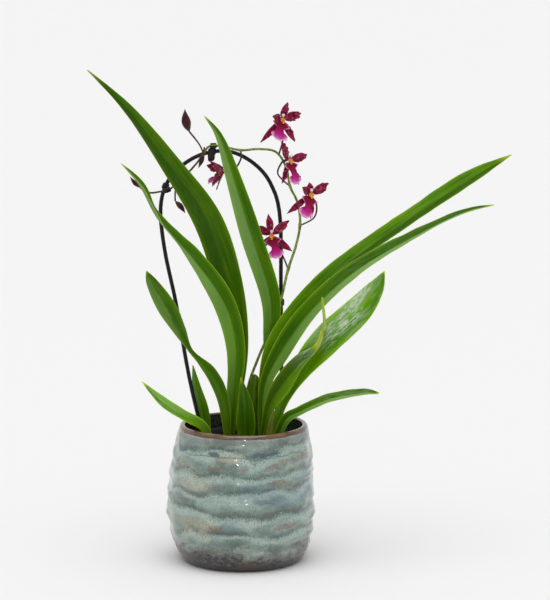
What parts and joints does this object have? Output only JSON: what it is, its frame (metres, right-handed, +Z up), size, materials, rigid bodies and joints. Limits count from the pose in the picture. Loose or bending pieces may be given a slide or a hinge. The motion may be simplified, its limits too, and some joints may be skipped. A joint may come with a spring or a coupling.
{
  "type": "potted orchid",
  "caption": "Small-flowered hybrid orchid in a hand-thrown glazed cover pot, with strap leaves and an arching flower spike clipped to a wire hoop.",
  "frame": {"origin": "centre of the cover pot's base, on the surface it stands on", "axes": "+Z up through the pot, -Y towards the viewer, +X towards the long right leaves"},
  "size_m": [0.422, 0.1524, 0.4973],
  "materials": {
    "pot_glaze": "glossy celadon and blue-grey glaze with rust patches, brown rim and dark foot",
    "black_plastic": "satin black plastic",
    "bark": "rough, dark orchid bark",
    "pseudobulb": "smooth green plant tissue",
    "leaf": "satin green leaf with fine parallel veins",
    "dry_sheath": "dry tan plant sheath",
    "stem": "smooth green to purple-brown stem",
    "bud": "dark maroon bud",
    "tepal": "velvety dark crimson petal tissue",
    "lip": "magenta and white lip with an orange crest",
    "black_wire": "black plastic-coated wire",
    "black_clip": "black plastic clip"
  },
  "bodies": {
    "root": {"cover_pot": "pot_glaze", "growing_pot": "black_plastic", "bark_mix": "bark", "pseudobulb": "pseudobulb", "dry_sheath": "dry_sheath", "flower_spike": "stem", "support_arch": "black_wire", "leaf_tall_left": "leaf", "leaf_arching_left": "leaf", "leaf_upright_centre": "leaf", "leaf_long_right_upper": "leaf", "leaf_long_right_lower": "leaf", "leaf_broad_right": "leaf", "leaf_folded_right": "leaf", "leaf_low_right": "leaf", "leaf_short_left": "leaf", "leaf_low_left": "leaf", "leaf_small_back_left": "leaf", "leaf_small_front": "leaf", "bud_upper": "bud", "bud_at_clip": "bud", "bud_lower": "bud", "bud_tip": "bud", "flower_top_dorsal_sepal": "tepal", "flower_top_left_petal": "tepal", "flower_top_right_petal": "tepal", "flower_top_left_sepal": "tepal", "flower_top_right_sepal": "tepal", "flower_upper_dorsal_sepal": "tepal", "flower_upper_left_petal": "tepal", "flower_upper_right_petal": "tepal", "flower_upper_left_sepal": "tepal", "flower_upper_right_sepal": "tepal", "flower_right_dorsal_sepal": "tepal", "flower_right_left_petal": "tepal", "flower_right_right_petal": "tepal", "flower_right_left_sepal": "tepal", "flower_right_right_sepal": "tepal", "flower_lower_dorsal_sepal": "tepal", "flower_lower_left_petal": "tepal", "flower_lower_right_petal": "tepal", "flower_lower_left_sepal": "tepal", "flower_lower_right_sepal": "tepal", "flower_left_dorsal_sepal": "tepal", "flower_left_left_petal": "tepal", "flower_left_right_petal": "tepal", "flower_left_left_sepal": "tepal", "flower_left_right_sepal": "tepal", "flower_top_lip": "lip", "flower_upper_lip": "lip", "flower_right_lip": "lip", "flower_lower_lip": "lip", "flower_left_lip": "lip", "clip_top": "black_clip", "clip_left": "black_clip", "clip_right": "black_clip"}
  },
  "joints": []
}
